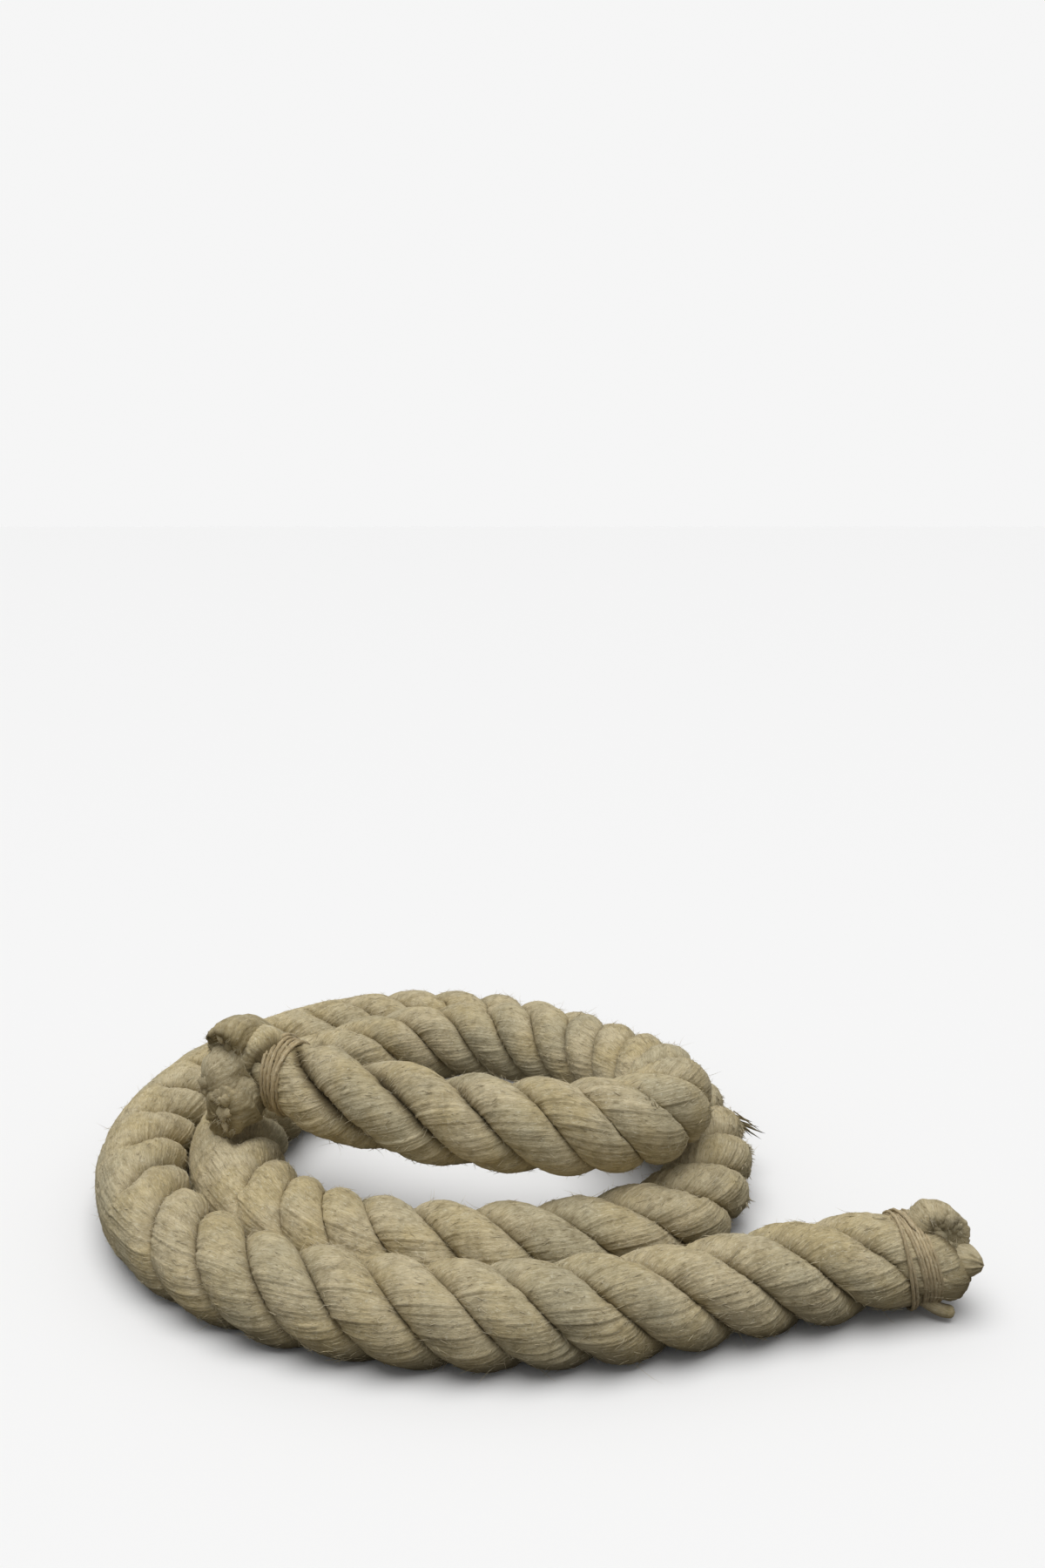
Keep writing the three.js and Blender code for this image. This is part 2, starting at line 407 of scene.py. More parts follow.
SHINY_STREAK = colour(0.87, 0.84, 0.73)
PALE_LINT = colour(0.92, 0.90, 0.81)
BARK = colour(0.38, 0.31, 0.18)
GROOVE_SHADE = colour(0.28, 0.23, 0.12)
LOW_SHADE_COLOUR = colour(0.25, 0.21, 0.12)
BROWN_STAIN_AND_SHADE = colour(0.40, 0.34, 0.19)
FIBRE_STRAY = 0.0016  # by which the fibres wander across their yarn


def fibre_material(name, pale, yellow, grey, deep):
    """Bast fibre: patches of three tones, streaks along the yarns, lint, flecks, darker grooves."""
    nodes = Nodes(name)
    place = nodes.add("ShaderNodeTexCoord").outputs["Object"]
    yarn = nodes.add("ShaderNodeUVMap", uv_map="yarn").outputs["UV"]
    # the fibres wander a little across the yarn
    stir = nodes.add("ShaderNodeTexNoise", {"Vector": place, "Scale": 260.0, "Detail": 2.0})
    stir = nodes.add("ShaderNodeVectorMath", {0: stir.outputs["Color"], 1: (FIBRE_STRAY, FIBRE_STRAY, 0)},
                     operation="MULTIPLY").outputs[0]
    yarn = nodes.add("ShaderNodeVectorMath", {0: yarn, 1: stir}, operation="ADD").outputs[0]
    # patches of three tones
    patches = nodes.noise(place, (42, 42, 42))
    body = nodes.mix(nodes.range(patches, 0.42, 0.62), pale, yellow)
    clouds = nodes.noise(place, (26, 26, 26))
    body = nodes.mix(nodes.range(clouds, 0.48, 0.66), body, grey)
    mottle = nodes.noise(place, (190, 190, 190))
    body = nodes.mix(nodes.range(mottle, 0.46, 0.72, 0.0, 0.42), body, deep)
    # each yarn has a tone of its own, and a shaded gap beside it
    body = nodes.mix(nodes.range(nodes.attribute("tone"), -1, 1, 0.0, 0.30), body, deep)
    body = nodes.mix(nodes.range(nodes.attribute("gap"), 0.15, 1, 0.0, 0.20), body, deep)
    # the fibres in a yarn
    streaks = nodes.noise(yarn, (330, 2300, 1), 3.0, 0.7)
    body = nodes.mix(nodes.range(streaks, 0.46, 0.72, 0.0, 0.55), body, deep)
    shine = nodes.noise(yarn, (240, 1700, 1), 2.0, 0.7)
    body = nodes.mix(nodes.range(shine, 0.54, 0.74, 0.0, 0.62), body, SHINY_STREAK)
    # lint on the surface, and bits of bark
    lint = nodes.noise(place, (700, 700, 700), 3.0, 0.7)
    body = nodes.mix(nodes.range(lint, 0.60, 0.74, 0.0, 0.55), body, PALE_LINT)
    flecks = nodes.noise(yarn, (420, 1300, 1), 1.0)
    body = nodes.mix(nodes.range(flecks, 0.68, 0.76, 0.0, 0.60), body, BARK)
    # painted shade in grooves and near the floor; brown stains, partly painted shade in the cuts
    # painted shade: the grooves between strands are darkened, most deep in them
    body = nodes.mix(nodes.range(nodes.attribute("groove"), 0, 1, 0.0, 0.80), body, deep)
    body = nodes.mix(nodes.range(nodes.attribute("groove"), 0.4, 1, 0.0, 0.55), body, GROOVE_SHADE)
    # painted shade: the rope is darker close to the floor
    body = nodes.mix(nodes.range(nodes.attribute("low_shade"), 0, 1, 0.0, 0.85), body, LOW_SHADE_COLOUR)
    # brown stains, and in the cuts of the frayed ends painted shade
    body = nodes.mix(nodes.range(nodes.attribute("stain_and_shade"), 0, 1, 0.0, 0.85), body, BROWN_STAIN_AND_SHADE)
    nodes.tree.links.new(body, nodes.shader.inputs["Base Color"])
    # a rough, matt surface
    hairs = nodes.noise(yarn, (420, 3600, 1), 3.0, 0.7)
    height = nodes.math("ADD", nodes.math("MULTIPLY", hairs, 0.8), nodes.math("MULTIPLY", lint, 0.8))
    height = nodes.math("ADD", height, nodes.math("MULTIPLY", mottle, 1.2))
    bump = nodes.add("ShaderNodeBump", {"Height": height, "Strength": 0.85, "Distance": 0.0005})
    nodes.tree.links.new(bump.outputs["Normal"], nodes.shader.inputs["Normal"])
    rough = nodes.range(shine, 0.3, 0.8, 0.94, 0.78)
    nodes.tree.links.new(rough, nodes.shader.inputs["Roughness"])
    nodes.shader.inputs["Specular IOR Level"].default_value = 0.2
    nodes.shader.inputs["Sheen Weight"].default_value = 0.15
    nodes.shader.inputs["Sheen Roughness"].default_value = 0.5
    nodes.shader.inputs["Sheen Tint"].default_value = colour(0.90, 0.87, 0.76)
    return nodes.material


rope_fibre = fibre_material(
    "rope_fibre",
    pale=colour(0.855, 0.80, 0.66),
    yellow=colour(0.825, 0.76, 0.59),
    grey=colour(0.80, 0.76, 0.635),
    deep=colour(0.42, 0.355, 0.22),
)


GROOVE_EDGE = (math.radians(55), math.radians(118))  # angles round a strand where its groove starts
LOW_SHADE_HEIGHT = (0.001, 0.014)  # heights between which the painted shade near the floor fades out


def strand_piece(name, strand):
    """One strand as a sheet whose rows follow the yarns, rolled round the strand's middle line."""
    # columns round the strand: close on the side that shows, wide where it meets the other two
    hidden = np.array([math.radians(112), MEETING, math.pi])
    columns = np.r_[-hidden[::-1], np.linspace(-math.pi / 2, math.pi / 2, 13), hidden]
    row_turn = math.tau / (YARNS * ROWS_PER_YARN)
    first = math.floor((-YARN_TWIST * STRAND_CAP - math.pi) / row_turn)
    last = math.ceil((YARN_TWIST * (ROPE_LENGTH + STRAND_CAP) + math.pi) / row_turn)
    mesh, row, column = grid_mesh(name, last - first + 1, len(columns))
    row = first + row
    around = columns[column]
    x = (row * row_turn - around) / YARN_TWIST
    yarn = (row // ROWS_PER_YARN) % YARNS
    x = np.clip(x, -STRAND_CAP, ROPE_LENGTH + STRAND_CAP)
    in_gap = row % ROWS_PER_YARN == 0
    group = yarn // 4
    # each yarn stands above the gap beside it, less where it is worn, and some yarns stand higher
    # or lie deeper
    crown = np.where(in_gap, 0.0, YARN_HEIGHT) * (1 + 0.45 * wander(x, 0.003, 41 + strand, yarn))
    worn = 0.62 + 0.48 * wander(x, 0.016, 91 + strand, group)
    proud = YARN_PROUD * wander(x, 0.014, 21 + strand, yarn)
    loose = YARN_LOOSE * ramp(wander(x, 0.005, 31 + strand, yarn), 0.66, 1.0)
    lumps = YARN_LUMPS * wander(x, 0.010, 95 + strand, group)
    lift = crown * worn + proud + loose + lumps
    # rounded off at the ends, which the twine and the loose ends hide
    past = np.maximum(-x, x - ROPE_LENGTH).clip(0) / STRAND_CAP
    lift = lift - STRAND_RADIUS * (1 - np.sqrt(1 - past**2))
    strand_place = strand_point(strand, x, around, lift)
    mesh.vertices.foreach_set("co", strand_place.astype(np.float32).ravel())
    tone = 0.55 * wander(x, 0.030, 51 + strand, yarn) + 0.45 * wander(x, 0.006, 61 + strand, yarn)
    # painted shade in the grooves and in the gaps between yarns, but not where the rope is smooth
    turn = np.interp(x, line_x, line_turn) + math.tau * strand / STRANDS
    smooth = smoothness(x, turn + 0.5 * around)
    groove = ramp(abs(around), *GROOVE_EDGE) * (1 - 0.85 * smooth)
    gap_depth = 0.7 + 0.5 * wander(x, 0.006, 71 + strand, yarn)
    gap = in_gap * worn * (1 - 0.6 * smooth) * gap_depth
    # painted shade, darker towards the floor
    low_shade = 1 - ramp(strand_place[:, 2], *LOW_SHADE_HEIGHT)
    uv = np.stack([YARN_RUN * x, YARN_WIDTH * row / ROWS_PER_YARN], 1)
    give_looks(mesh, rope_fibre, {"tone": tone, "groove": groove, "gap": gap, "low_shade": low_shade}, uv)
    close_up(mesh, 1e-6)
    return add_piece(name, mesh)


strands = [strand_piece(f"strand_{k + 1}", k) for k in range(STRANDS)]
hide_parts("rope")


# ---- Frayed strand ends ----------------------------
# Past the twine the three strands stand apart, swollen fat and round. Four of them show their
# blunt cuts, in which the soft yarns curl over one another, browner than the outside and darker
# deeper in by painted shade. The other two, at the lower end, have their cuts tucked in and end
# in a smooth tip.
STUB_YARNS = 22  # in each cut
STUB_YARN_RADIUS = 0.0026
# how far back from a yarn's end its stations are, and its thickness there
STUB_BACK = np.array([0.0070, 0.0045, 0.0030, 0.0019, 0.0010, 0.0003, 0.0])
STUB_SHAPE = np.array([0.85, 1.0, 1.05, 1.0, 0.82, 0.48, 0.0])
END_INSIDE = 0.012  # length of each end that lies under the twine
END_ROOT_RADIUS = 0.0062
END_SWELL = 0.0038  # length past the twine in which an end reaches its full thickness
END_PULL = 0.45  # part of its reach in which a loose strand keeps straight at either end
END_TWIST = 14  # radians that the yarns turn round a loose strand, per metre of it
END_YARN_RISE = 1.1  # height of the yarns on a loose strand, for their height in the rope
PLEAT_RISE = 0.7  # and what is added to that where the twine pleats the strand
TUCKED_RISE = 0.35  # part of the lumps and of the yarns' height on a tip whose cut is tucked in
IN_CUT = (0.3, 0.6, 0.9, 1, 1, 1)  # how far the last rows of a skin, over its rim, are in the cut
SKIN_LOWEST = 0.0003
STUB_LOWEST = 0.0020


def skin_piece(name, skin, point_values, column_width):
    """A closed skin from rows of places round it, the last column on the first."""
    mesh, row, column = grid_mesh(name, *skin.shape[:2])
    mesh.vertices.foreach_set("co", skin[row, column].astype(np.float32).ravel())
    length = np.cumsum(np.r_[0, np.linalg.norm(np.diff(skin[:, 0], axis=0), axis=1)])
    uv = np.stack([length[row], column_width * column], 1)
    give_looks(mesh, rope_fibre, {key: value[row, column] for key, value in point_values.items()}, uv)
    close_up(mesh)
    return add_piece(name, mesh)


def tubes(name, centres, radii, sides, material, across, point_values):
    """Round bars in one mesh. The centres are bars by stations by 3, the radii have a value for
    each bar, station and side or for fewer of these, and across is where the first side points."""
    bars, stations = centres.shape[:2]
    one_bar, station, side_number = grid_mesh(name, stations, sides + 1)
    faces = np.array([f.vertices for f in one_bar.polygons])
    bpy.data.meshes.remove(one_bar)
    along = unit(np.gradient(centres, axis=1))
    side = unit(across - along * (along * across).sum(2, keepdims=True))
    up = np.cross(along, side)
    radii = np.broadcast_to(radii, (bars, stations, sides + 1))
    angle = (side_number % sides)[None, :, None] * (math.tau / sides)
    round_it = np.cos(angle) * side[:, station] + np.sin(angle) * up[:, station]
    places = centres[:, station] + radii[:, station, side_number][..., None] * round_it
    faces = faces[None] + len(station) * np.arange(bars)[:, None, None]
    mesh = bpy.data.meshes.new(name)
    mesh.from_pydata(places.reshape(-1, 3).tolist(), [], faces.reshape(-1, 4).tolist())
    length = np.cumsum(np.linalg.norm(np.diff(centres, axis=1, prepend=centres[:, :1]), axis=2), axis=1)
    width = radii.max(axis=(1, 2))[:, None] * math.tau / sides * side_number
    apart = np.arange(bars)[:, None]
    uv = np.stack([length[:, station] + 0.037 * apart, width + 0.0131 * apart], 2).reshape(-1, 2)
    values = {key: np.broadcast_to(value, (bars, stations))[:, station].ravel()
              for key, value in point_values.items()}
    give_looks(mesh, material, values, uv)
    close_up(mesh)
    return add_piece(name, mesh)


def strand_middle(strand, x):
    """The middle of a strand at x along the rope."""
    turn = np.interp(x, line_x, line_turn) + math.tau * strand / STRANDS
    offset = STRAND_OFFSET * drawn(x)
    return bend(x, offset * np.cos(turn), offset * np.sin(turn))


def frayed_end(name, out, seed, strand, tip, facing, full_radius, rim_radius, dome, spread_way,
               browned, point=0.0):
    """A strand's loose end: out is -1 at the rope's upper end and 1 at its lower one, tip is the
    middle of the cut, facing is the way that the cut faces, rim_radius is how round its rim is, dome
    is how far its middle stands out, spread_way is the way that the end is spread flat and, by its
    length, how far, and soiled is how brown it is. An end with a point has its cut tucked in, and
    point is how long its rounded tip is for its radius. It returns the pieces and the yarns' ends."""
    rng = np.random.default_rng(seed)
    tucked = point > 0
    tip = np.array(tip)
    bound_x = 0.0 if out < 0 else ROPE_LENGTH
    root, leave = strand_middle(strand, bound_x - out * np.array([END_INSIDE, 0.0]))
    pull = END_PULL * np.linalg.norm(tip - leave)
    bend_1 = leave + pull * unit(leave - root)
    bend_2 = tip - pull * unit(np.array(facing))
    t = np.linspace(0, 1, 60)[:, None]
    loose = ((1 - t)**3 * leave + 3 * (1 - t)**2 * t * bend_1
             + 3 * (1 - t) * t**2 * bend_2 + t**3 * tip)
    path, length = evenly(np.vstack([root, loose]), 90)
    path_x = np.linspace(0, length, len(path))
    path_along = unit(np.gradient(path, axis=0))
    spread_way = np.array(spread_way)
    fan = np.linalg.norm(spread_way)

    def place(d, p, q):
        """The point a distance d along the end, and p and q across it."""
        on_path = np.clip(d, 0, length)
        middle, along = (np.stack([np.interp(on_path, path_x, rows[:, k]) for k in range(3)], -1)
                         for rows in (path, path_along))
        side = unit(spread_way - along * (along @ spread_way)[..., None])
        spread = fan ** ramp(d, END_INSIDE, length)[..., None]
        spot = middle + p[..., None] * spread * side + q[..., None] / spread * np.cross(along, side)
        spot = spot + (d - on_path)[..., None] * along
        spot[..., 2] = np.maximum(spot[..., 2], SKIN_LOWEST)
        return spot

    # rows of points: up the outside of the strand, round its rim and across the cut to its middle
    rim_length = rim_radius * (point if tucked else 1)
    sleeve = np.linspace(0, length - rim_length, 20)
    rim = np.linspace(0, math.pi / 2, 6)[1:]
    cut_part = np.array([0.66, 0.33, 0.0])
    depth = np.r_[0, sleeve, length - rim_length + rim_length * np.sin(rim),
                  length + dome * (1 - cut_part**2)]
    full = np.interp(depth, [0, END_INSIDE, END_INSIDE + END_SWELL],
                     [END_ROOT_RADIUS, drawn(bound_x) * STRAND_RADIUS, full_radius])
    inner = full[-1] - rim_radius
    full[0] = 0
    full[1 + len(sleeve):] = np.r_[full[-1] - rim_radius * (1 - np.cos(rim)), inner * cut_part]
    in_cut = np.r_[np.zeros(len(depth) - len(IN_CUT)), IN_CUT][:, None] * (not tucked)
    outside = ramp(full, 0.2 * full_radius, 0.5 * full_radius)[:, None]
    depth = depth[:, None]

    # columns of points: the yarns, with a gap beside each, in lumps of seven and of three
    columns = YARNS * ROWS_PER_YARN
    column = np.arange(columns + 1) % columns
    yarn = column // ROWS_PER_YARN
    in_gap = column % ROWS_PER_YARN == 0
    pleated = ramp(depth, END_INSIDE, END_INSIDE + 0.002)
    pleated = pleated * (1 - ramp(depth, END_INSIDE + 0.004, END_INSIDE + 0.010))
    rise = TUCKED_RISE if tucked else END_YARN_RISE + PLEAT_RISE * pleated
    crown = np.where(in_gap, 0.0, YARN_HEIGHT) * rise
    lump = (0.10 * wander(depth, 0.007, seed, yarn // 7)
            + 0.07 * wander(depth, 0.005, seed + 1, yarn // 3)
            + 0.025 * wander(depth, 0.003, seed + 2, yarn))
    lump = lump * outside * (TUCKED_RISE if tucked else 1)
    radius = full[:, None] * (1 + lump) + crown * outside
    uneven = 0.0004 * wander(depth, 0.02, seed + 3, yarn) * ramp(depth, 0.6 * length, length)
    angle = column * math.tau / columns + END_TWIST * depth
    skin = place(depth + uneven, radius * np.cos(angle), radius * np.sin(angle))

    everywhere = np.ones_like(radius)
    near_tip = ramp(depth, 0.3 * length, 0.8 * length)
    # brown stain towards the tip; across the cut some brown stain and painted shade
    brown = (0.8 if tucked else 0.35) * browned * near_tip + (0.55 * browned + 0.2) * in_cut
    skin = skin_piece(name + "_skin", skin, {
        "tone": 0.8 * wander(depth, 0.012, seed + 4, yarn) * everywhere,
        "gap": in_gap * (0.4 if tucked else 0.7) * everywhere,
        # painted shade where the strand goes in under the twine
        "groove": ramp(END_INSIDE + 0.003 - depth, 0, 0.003) * everywhere,
        "stain_and_shade": brown * everywhere,
    }, YARN_WIDTH / ROWS_PER_YARN)
    if tucked:
        return [skin], np.empty((0, 3))

    # the yarns' own ends, which follow the cut and curl over one another
    number = np.arange(STUB_YARNS) + 0.5
    ring = np.sqrt(number / STUB_YARNS) * (inner + 0.35 * rim_radius)
    spin = number * math.pi * (3 - math.sqrt(5)) + rng.uniform(-0.5, 0.5, STUB_YARNS)
    on_rim = ((ring - inner) / rim_radius).clip(0)
    cut_at = length - rim_radius * (1 - np.sqrt(1 - on_rim**2)) + dome * (1 - (ring / inner)**2).clip(0)
    ends = cut_at + rng.uniform(-0.0014, 0.0009, STUB_YARNS)
    fat = STUB_YARN_RADIUS * rng.uniform(0.6, 1.25, (STUB_YARNS, 1)) * STUB_SHAPE
    curl = rng.uniform(0.0015, 0.0075, (STUB_YARNS, 1)) * np.linspace(0, 1, len(STUB_BACK))**2
    curl_way = rng.uniform(0, math.tau, (STUB_YARNS, 1))
    p = (ring * np.cos(spin))[:, None] + curl * np.cos(curl_way)
    q = (ring * np.sin(spin))[:, None] + curl * np.sin(curl_way)
    inside = np.minimum(1, ring[-1] / np.hypot(p, q))
    centres = place(ends[:, None] - STUB_BACK, inside * p, inside * q)
    centres[..., 2] = np.maximum(centres[..., 2], STUB_LOWEST)
    # painted shade: each yarn's end is darker further back in the cut
    shade = rng.uniform(0.05, 0.8, (STUB_YARNS, 1)) * np.linspace(1.6, 0.6, len(STUB_BACK)).clip(0, 1)
    tone = rng.uniform(-1, 0.4, (STUB_YARNS, 1)) * np.ones(len(STUB_BACK))
    yarn_ends = tubes(
        name + "_yarns", centres, fat[..., None], 8, rope_fibre, spread_way,
        {"tone": tone, "stain_and_shade": browned * shade})
    return [skin, yarn_ends], centres[:, -2]


UPPER_ENDS = [
    # the lowest one, its cut to the front, brown and darkened by painted shade
    dict(strand=0, tip=(-0.1300, -0.0350, 0.0500), facing=(-0.50, -0.85, -0.05), full_radius=0.0124,
         rim_radius=0.0046, dome=0.0010, spread_way=(0.25, 0.0, 1.0), browned=0.80),
    # the pale middle one
    dict(strand=2, tip=(-0.1375, -0.0270, 0.0580), facing=(-0.80, -0.55, -0.25), full_radius=0.0124,
         rim_radius=0.0095, dome=0.0008, spread_way=(0.25, 0.0, 1.05), browned=0.10),
    # the one on top, which hangs over the middle one
    dict(strand=1, tip=(-0.1300, -0.0243, 0.0772), facing=(-0.50, -0.75, -0.42), full_radius=0.0108,
         rim_radius=0.0024, dome=-0.0010, spread_way=(0.92, 0.25, 0.68), browned=0.80),
]
LOWER_ENDS = [
    # the one on top, its hollow cut to the front
    dict(strand=0, tip=(0.1700, -0.1068, 0.0345), facing=(0.25, -0.92, 0.12), full_radius=0.0120,
         rim_radius=0.0058, dome=-0.0016, spread_way=(0.91, 0.1, -0.56), browned=0.45),
    # the two tucked-in ones, a pale one that juts out and a brown one under it, its brown partly
    # painted shade
    dict(strand=2, tip=(0.1858, -0.1112, 0.0240), facing=(0.93, -0.36, 0.05), full_radius=0.0082,
         rim_radius=0.0080, dome=0.0002, spread_way=(0.0, 1.0, 0.0), browned=0.0, point=2.1),
    dict(strand=1, tip=(0.1772, -0.1015, 0.0095), facing=(0.78, -0.15, -0.58), full_radius=0.0095,
         rim_radius=0.0086, dome=0.0004, spread_way=(0.0, 0.0, 1.0), browned=1.25, point=1.1),
]
end_pieces = []
cut_places = []
cut_faces = []
for place_name, out, ends in (("upper", -1, UPPER_ENDS), ("lower", 1, LOWER_ENDS)):
    for end in ends:
        number = end["strand"] + 1
        made, roots = frayed_end(f"{place_name}_end_{number}", out, 100 + 10 * number + out, **end)
        end_pieces += made
        cut_places.append(roots)
        cut_faces.append(np.broadcast_to(end["facing"], roots.shape))

# one fat yarn has slipped out below the twine of the lower end
LOOSE_YARN = np.array([
    (0.158, -0.108, 0.011), (0.164, -0.111, 0.008), (0.170, -0.1125, 0.005), (0.1755, -0.113, 0.0042)])
LOOSE_YARN_RADIUS = 0.0027
LOOSE_STATIONS = 24
loose_path, loose_length = evenly(smooth_through(LOOSE_YARN, 12), LOOSE_STATIONS)
loose_left = loose_length * np.linspace(1, 0, LOOSE_STATIONS)
loose_radii = LOOSE_YARN_RADIUS * np.sqrt(1 - (1 - (loose_left / LOOSE_YARN_RADIUS).clip(0, 1))**2)
loose_radii[0] = 0
end_pieces.append(tubes(
    "lower_loose_yarn", loose_path[None], loose_radii[None, :, None], 16, rope_fibre,
    np.array((0.0, 0.0, 1.0)),
    {"tone": np.zeros((1, LOOSE_STATIONS)), "stain_and_shade": np.full((1, LOOSE_STATIONS), 0.15)}))


# ---- Twine -----------------------------------------
# Each end is whipped with thin two-ply twine, a little browner than the rope. Its turns lie side
# by side where they bite into the strands, and the last one or two run aslant over the others.
TWINE_TWIST = 0.0058  # length in which its two plies go round once
TWINE_SIDES = 12
TURN_STATIONS = 44
TWINE_BRIDGE = 0.05  # part of the rope's radius by which a turn dips over a groove
TWINE_RIDE = 0.45  # part of its own radius by which its middle rides above the strands
TURN_STRAY = 0.0004  # by which a turn strays from its neighbours
TURN_RISE = 0.00025  # and by which it rises over them
TWINE_MEAN = 0.84  # its mean radius, for the radius that it is given
PLY_SWING = 0.18  # what is added to that over a ply, and taken away between the two plies

twine_fibre = fibre_material(
    "twine",
    pale=colour(0.83, 0.76, 0.62),
    yellow=colour(0.80, 0.72, 0.56),
    grey=colour(0.77, 0.71, 0.58),
    deep=colour(0.38, 0.31, 0.19),
)


def whipping(name, bound_x, out, radius, band, turns, lean, slants, seed):
    """Twine turns in a band from the loose end inwards. They lean further inwards on the side that
    lean points to, by its length, and slanting turns cross over them, each with its start, its
    finish and its height."""
    angle = np.linspace(0, math.tau * turns, int(turns * TURN_STATIONS))
    into = np.interp(angle, [0, math.tau * turns], band) + TURN_STRAY * wander(angle, 1.1, seed)
    layer = TURN_RISE * wander(angle, 2.3, seed + 1)
    for start, finish, height in slants:
        more = np.linspace(0, math.tau, TURN_STATIONS)[1:]
        slanting = np.interp(more, [0, 0.5, math.tau - 0.5, math.tau], [into[-1], start, finish, finish])
        angle = np.r_[angle, angle[-1] + more]
        into = np.r_[into, slanting]
        layer = np.r_[layer, layer[-1] + (height - layer[-1]) * ramp(more, 0.0, 1.2)]
    end = 0 if out < 0 else -1
    outwards = np.cos(angle)[:, None] * line_side[end] + np.sin(angle)[:, None] * line_up[end]
    into = evened(into, 5) + outwards @ lean
    x = bound_x - out * into
    from_crest = angle - np.interp(x, line_x, line_turn)
    dip = TWINE_BRIDGE * (1 - np.cos(STRANDS * from_crest)) / 2
    reach = drawn(x) * DIAMETER / 2 * (1 - dip) + TWINE_RIDE * radius + layer
    centres = bend(x, reach * np.cos(angle), reach * np.sin(angle))
    axis = bend(x, 0 * x, 0 * x)
    length = np.cumsum(np.r_[0, np.linalg.norm(np.diff(centres, axis=0), axis=1)])
    round_it = np.arange(TWINE_SIDES + 1) % TWINE_SIDES * math.tau / TWINE_SIDES
    plies = TWINE_MEAN + PLY_SWING * np.cos(2 * round_it - math.tau * length[:, None] / TWINE_TWIST)
    plies[[0, -1]] = 0
    tone = 0.8 * wander(length, 0.02, seed + 2)
    return tubes(name, centres[None], radius * plies[None], TWINE_SIDES, twine_fibre,
                 (centres - axis)[None], {"tone": tone[None]})


twines = [
    whipping("twine_upper", 0.0, -1, 0.0011, (0.0008, 0.0118), 5, (0.0, -0.0048, -0.0025),
             [(0.0100, 0.0035, 0.0011)], 71),
    whipping("twine_lower", ROPE_LENGTH, 1, 0.0008, (0.0030, 0.0115), 6, (0.0, 0.0, 0.0030),
             [(0.0150, 0.0100, 0.0009), (0.0180, 0.0070, 0.0011)], 81),
]
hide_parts("whipping_upper")
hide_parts("whipping_lower")


# ---- Loose fibres ----------------------------------
# Short fibre ends stand up all over the strands, most of them lying almost along the yarns, and
# others reach out of the cuts. Where the rope rubs, at the right, broken yarns stand up in tufts,
# and a few dark bark fibres hang out of the outer turn.
LINT = 12500  # fibres that lie on the yarns
HAIRS = 8500  # thinner ones that stand up
HAIR_SHAPE = np.array([0.8, 1.0, 0.75, 0.0])  # thickness from root to tip
HAIR_LOWEST = 0.0004
CUT_HAIRS = 16  # at each yarn's end

hair_fibre = fibre_material(
    "loose_fibre",
    pale=colour(0.93, 0.89, 0.78),
    yellow=colour(0.90, 0.85, 0.70),
    grey=colour(0.88, 0.84, 0.73),
    deep=colour(0.66, 0.59, 0.44),
)


def hairs(name, roots, leave, lift, lengths, thick, curl, rng, dark=0.0):
    """Tapered fibres that leave their roots one way, are lifted another, and curl as they will."""
    t = np.linspace(0, 1, len(HAIR_SHAPE))[None, :, None]
    bow = unit(rng.normal(size=roots.shape)) * curl[:, None]
    centres = roots[:, None] + lengths[:, None, None] * (
        t * leave[:, None] + t**1.5 * lift[:, None] + t**2 * bow[:, None])
    centres[..., 2] = np.maximum(centres[..., 2], HAIR_LOWEST)
    radii = thick[:, None] * HAIR_SHAPE
    across = np.cross(leave + lift, rng.normal(size=roots.shape))[:, None]
    shades = {"tone": rng.uniform(-1, 1, (len(roots), 1)), "stain_and_shade": np.full((len(roots), 1), dark)}
    return tubes(name, centres, radii[..., None], 3, hair_fibre, across, shades)


ROOT_LIFT = 0.00012  # height above the strand's own form at which the fibres are rooted
HAIRY_SIDE = 1.75  # angle round a strand, from its crest, over which fibres stand
FIRST_RISE = 0.10  # by which every fibre leaves a little outwards
END_ROOM = 0.002  # length at each end of the rope without fibres
NEXT_STEP = 0.0004  # to the next point of a yarn, which gives its direction


def surface_hairs(name, count, stray, lift, lengths, thick, curl, rng):
    """Hairs rooted all over the strands: they leave along the yarns, more or less astray."""
    x = rng.uniform(END_ROOM, ROPE_LENGTH - END_ROOM, count)
    around = rng.uniform(-HAIRY_SIDE, HAIRY_SIDE, count)
    strand = rng.integers(0, STRANDS, count)
    roots = strand_point(strand, x, around, ROOT_LIFT)
    outwards = unit(strand_point(strand, x, around, 10 * ROOT_LIFT) - roots)
    ahead = strand_point(strand, x + NEXT_STEP, around - YARN_TWIST * NEXT_STEP, ROOT_LIFT)
    along = unit(ahead - roots)
    along = along * rng.choice([-1, 1], count)[:, None]
    aside = rng.normal(0, stray, count)[:, None] * np.cross(along, outwards)
    leave = unit(along + aside + FIRST_RISE * outwards)
    rise = outwards * np.abs(rng.normal(0, lift, count))[:, None]
    return hairs(name, roots, leave, rise, lengths(count), rng.uniform(*thick, count),
                 np.abs(rng.normal(0, curl, count)), rng)


rng = np.random.default_rng(7)
lint = surface_hairs(
    "lint", LINT, stray=0.40, lift=0.07, lengths=lambda n: rng.uniform(0.0014, 0.0055, n),
    thick=(0.00008, 0.00016), curl=0.12, rng=rng)
fuzz = surface_hairs(
    "fuzz", HAIRS, stray=0.55, lift=0.30,
    lengths=lambda n: 0.0018 + rng.gamma(1.5, 0.0015, n).clip(0, 0.010),
    thick=(0.00005, 0.00009), curl=0.30, rng=rng)

